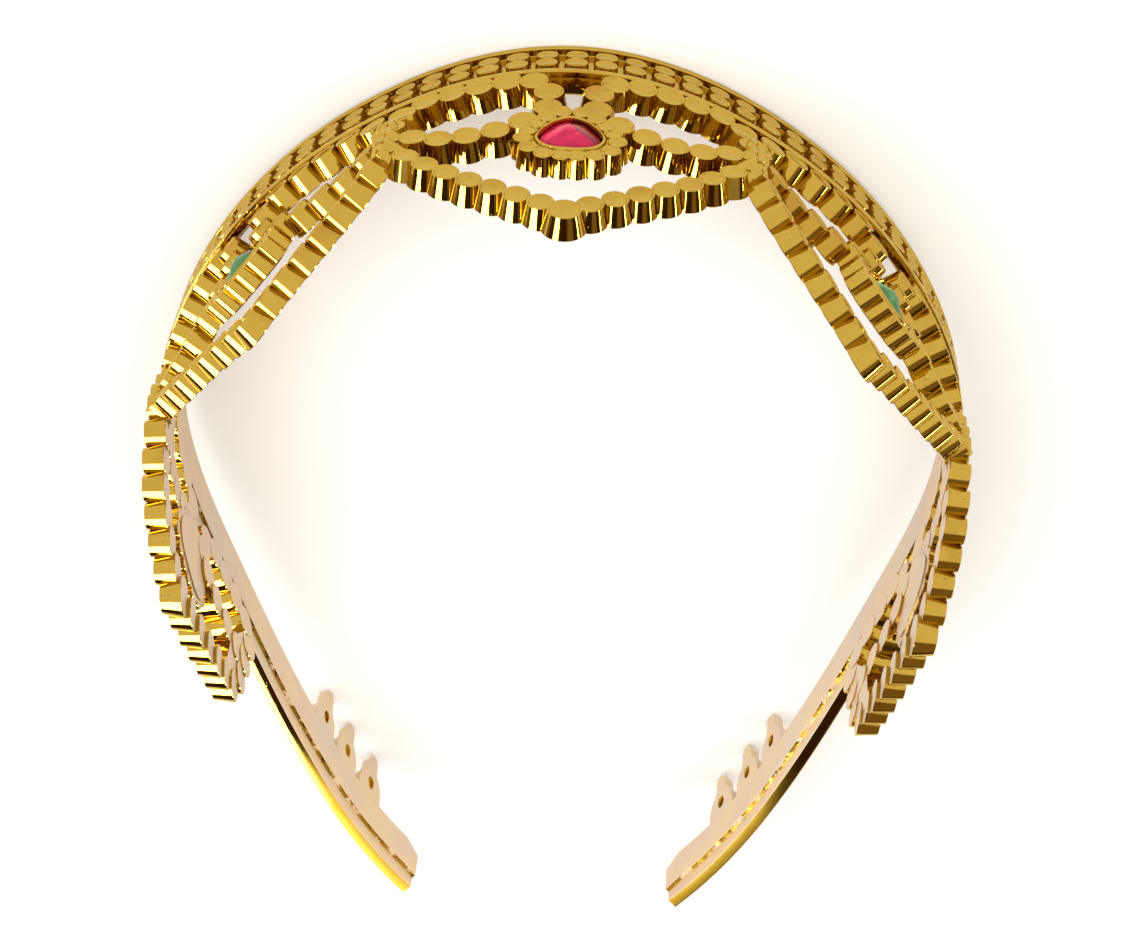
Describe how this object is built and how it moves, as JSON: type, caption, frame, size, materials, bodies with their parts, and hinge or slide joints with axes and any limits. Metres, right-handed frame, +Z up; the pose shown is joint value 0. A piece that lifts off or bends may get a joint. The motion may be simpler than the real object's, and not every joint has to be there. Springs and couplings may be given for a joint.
{
  "type": "child's comb tiara",
  "caption": "Gold-coloured plastic children's tiara with a pierced crest of drum-shaped studs, pink and green stones, and comb teeth on both arms.",
  "frame": {"origin": "on the table, under the middle of the tiara's box", "axes": "+Z up, the front of the tiara faces -Y, +X runs across from arm to arm"},
  "size_m": [0.1202, 0.1372, 0.0501],
  "materials": {
    "plated_plastic": "gold plating over cream plastic",
    "pink_stone": "clear faceted pink",
    "green_stone": "clear faceted green"
  },
  "bodies": {
    "root": {"moulding": "plated_plastic", "stone_front": "pink_stone", "stone_side_left": "green_stone", "stone_side_right": "green_stone", "stone_rear_left": "pink_stone", "stone_rear_right": "pink_stone"}
  },
  "joints": []
}
